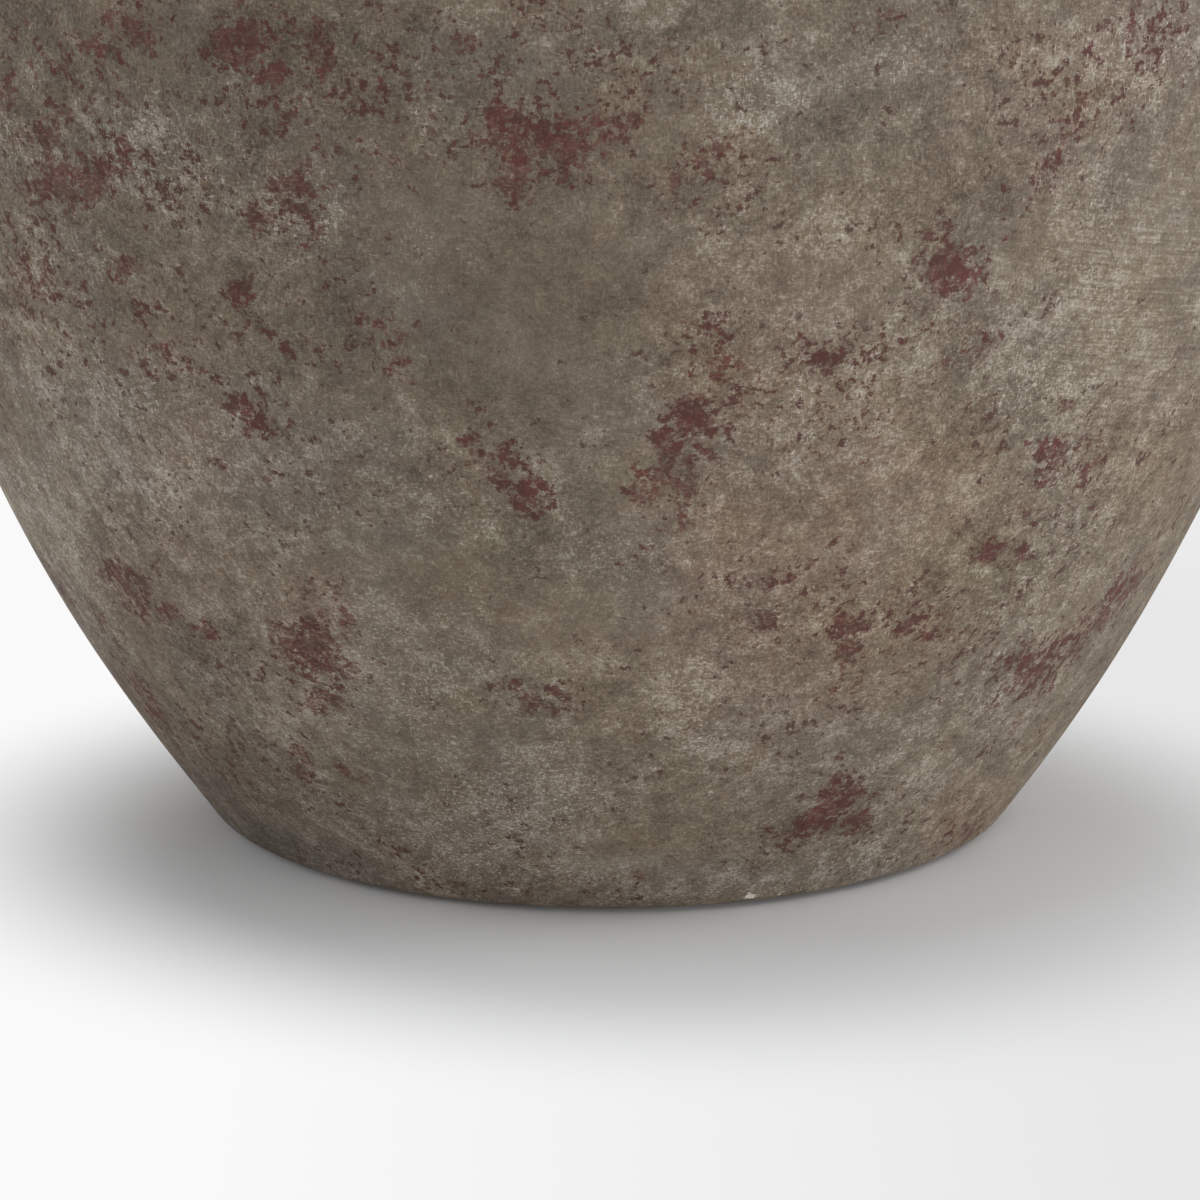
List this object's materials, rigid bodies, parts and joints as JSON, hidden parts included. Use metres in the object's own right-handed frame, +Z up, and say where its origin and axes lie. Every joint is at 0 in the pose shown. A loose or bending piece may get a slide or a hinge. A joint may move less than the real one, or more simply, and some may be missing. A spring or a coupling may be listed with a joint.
{
  "type": "floor vase",
  "caption": "Large jar-shaped floor vase in weathered taupe clay: narrow foot, full belly, round shoulder, short neck and rolled rim, standing on thin felt dots",
  "frame": {"origin": "on the floor, under the vase's axis", "axes": "+Z up along the vase's axis; -Y is the side that the picture shows; +X is to the right in it"},
  "size_m": [0.4996, 0.4996, 0.6019],
  "materials": {
    "antiqued_clay": "matte, weathered",
    "felt": "matte"
  },
  "bodies": {
    "root": {"floor_slab": "antiqued_clay", "foot_section": "antiqued_clay", "lower_section": "antiqued_clay", "belly_section": "antiqued_clay", "shoulder_section": "antiqued_clay", "neck_collar": "antiqued_clay", "rolled_rim": "antiqued_clay", "felt_pad_1": "felt", "felt_pad_2": "felt", "felt_pad_3": "felt", "felt_pad_4": "felt"}
  },
  "joints": []
}
